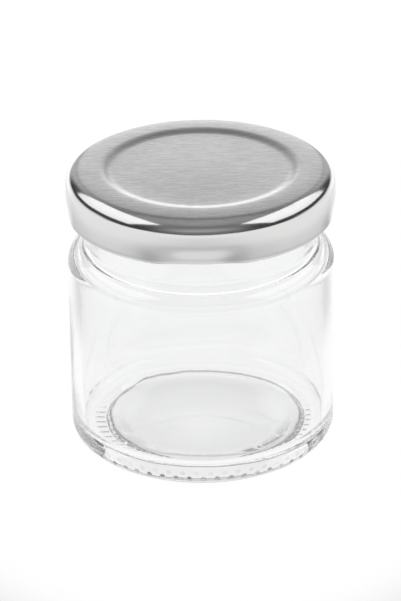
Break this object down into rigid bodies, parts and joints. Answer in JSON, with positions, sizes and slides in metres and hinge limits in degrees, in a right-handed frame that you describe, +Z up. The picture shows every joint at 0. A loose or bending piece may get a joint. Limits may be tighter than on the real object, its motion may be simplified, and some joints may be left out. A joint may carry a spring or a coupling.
{
  "type": "spice jar",
  "caption": "Small round clear glass jar with a stamped metal twist-off lid and an inner sealing ring, for spices and other dry food.",
  "frame": {"origin": "middle of the base, on the surface that the jar stands on", "axes": "+Z up along the jar's axis, -Y towards the viewer of the picture"},
  "size_m": [0.0464, 0.0464, 0.0503],
  "materials": {
    "clear_glass": "clear, polished, slightly uneven inside",
    "tinplate": "bright tinplate under clear lacquer, fine straight grain",
    "sealing_compound": "soft, satin, off-white"
  },
  "bodies": {
    "jar": {"glass_jar": "clear_glass"},
    "seal": {"sealing_ring": "sealing_compound"},
    "lid": {"lid_shell": "tinplate"}
  },
  "joints": [
    {"name": "lid_climb", "type": "slide", "parent": "jar", "child": "seal", "axis": [0, 0, 1], "range_m": [0, 0.0171]},
    {"name": "lid_twist", "type": "hinge", "parent": "seal", "child": "lid", "pos_m": [0, 0, 0.046], "axis": [0, 0, 1], "range_deg": [0, 360]}
  ],
  "couplings": [
    {"joint": "lid_climb", "follows": "lid_twist", "m_per_rad": 0.0027056}
  ]
}
